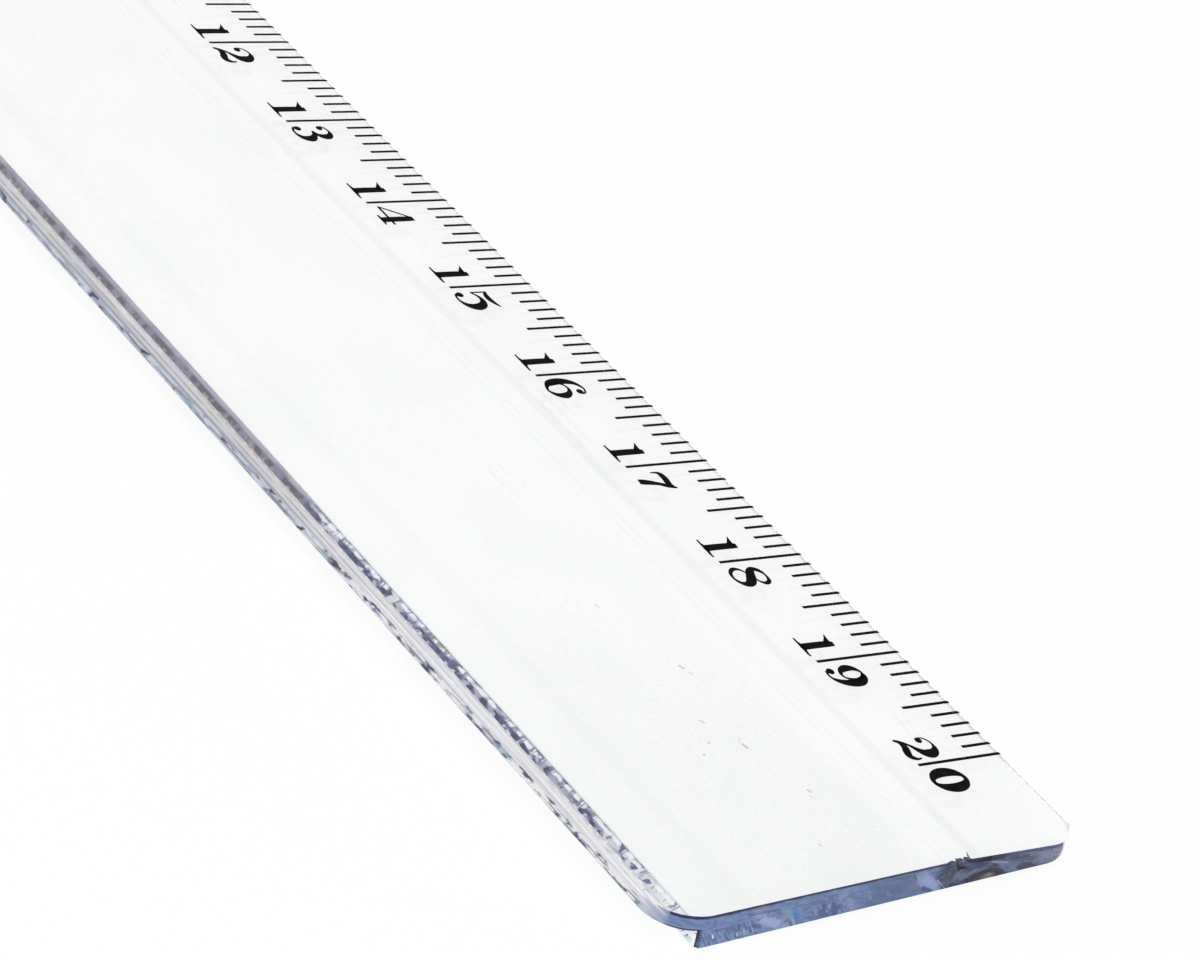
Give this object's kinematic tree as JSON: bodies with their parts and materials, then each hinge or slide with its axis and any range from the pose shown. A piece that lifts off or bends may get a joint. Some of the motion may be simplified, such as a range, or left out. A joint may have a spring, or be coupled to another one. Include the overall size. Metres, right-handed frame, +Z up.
{
  "type": "straight ruler",
  "caption": "Clear plastic straight ruler with a sloped graduated edge, black foil graduations and a stepped ink edge along the other side.",
  "frame": {"origin": "middle of the blade's length and width, on the underside that rests on the paper", "axes": "+X along the scale from 0 towards 20, +Y from the plain stepped edge to the graduated edge, +Z up out of the printed face"},
  "size_m": [0.2164, 0.032, 0.002],
  "materials": {
    "clear_plastic": "polished clear plastic, fine handling scratches",
    "black_foil": "hot stamped black foil, satin"
  },
  "bodies": {
    "root": {"ruler_blade": "clear_plastic", "centimetre_line_00": "black_foil", "centimetre_line_01": "black_foil", "centimetre_line_02": "black_foil", "centimetre_line_03": "black_foil", "centimetre_line_04": "black_foil", "centimetre_line_05": "black_foil", "centimetre_line_06": "black_foil", "centimetre_line_07": "black_foil", "centimetre_line_08": "black_foil", "centimetre_line_09": "black_foil", "centimetre_line_10": "black_foil", "centimetre_line_11": "black_foil", "centimetre_line_12": "black_foil", "centimetre_line_13": "black_foil", "centimetre_line_14": "black_foil", "centimetre_line_15": "black_foil", "centimetre_line_16": "black_foil", "centimetre_line_17": "black_foil", "centimetre_line_18": "black_foil", "centimetre_line_19": "black_foil", "centimetre_line_20": "black_foil", "half_centimetre_line_00_5": "black_foil", "half_centimetre_line_01_5": "black_foil", "half_centimetre_line_02_5": "black_foil", "half_centimetre_line_03_5": "black_foil", "half_centimetre_line_04_5": "black_foil", "half_centimetre_line_05_5": "black_foil", "half_centimetre_line_06_5": "black_foil", "half_centimetre_line_07_5": "black_foil", "half_centimetre_line_08_5": "black_foil", "half_centimetre_line_09_5": "black_foil", "half_centimetre_line_10_5": "black_foil", "half_centimetre_line_11_5": "black_foil", "half_centimetre_line_12_5": "black_foil", "half_centimetre_line_13_5": "black_foil", "half_centimetre_line_14_5": "black_foil", "half_centimetre_line_15_5": "black_foil", "half_centimetre_line_16_5": "black_foil", "half_centimetre_line_17_5": "black_foil", "half_centimetre_line_18_5": "black_foil", "half_centimetre_line_19_5": "black_foil"}
  },
  "joints": []
}
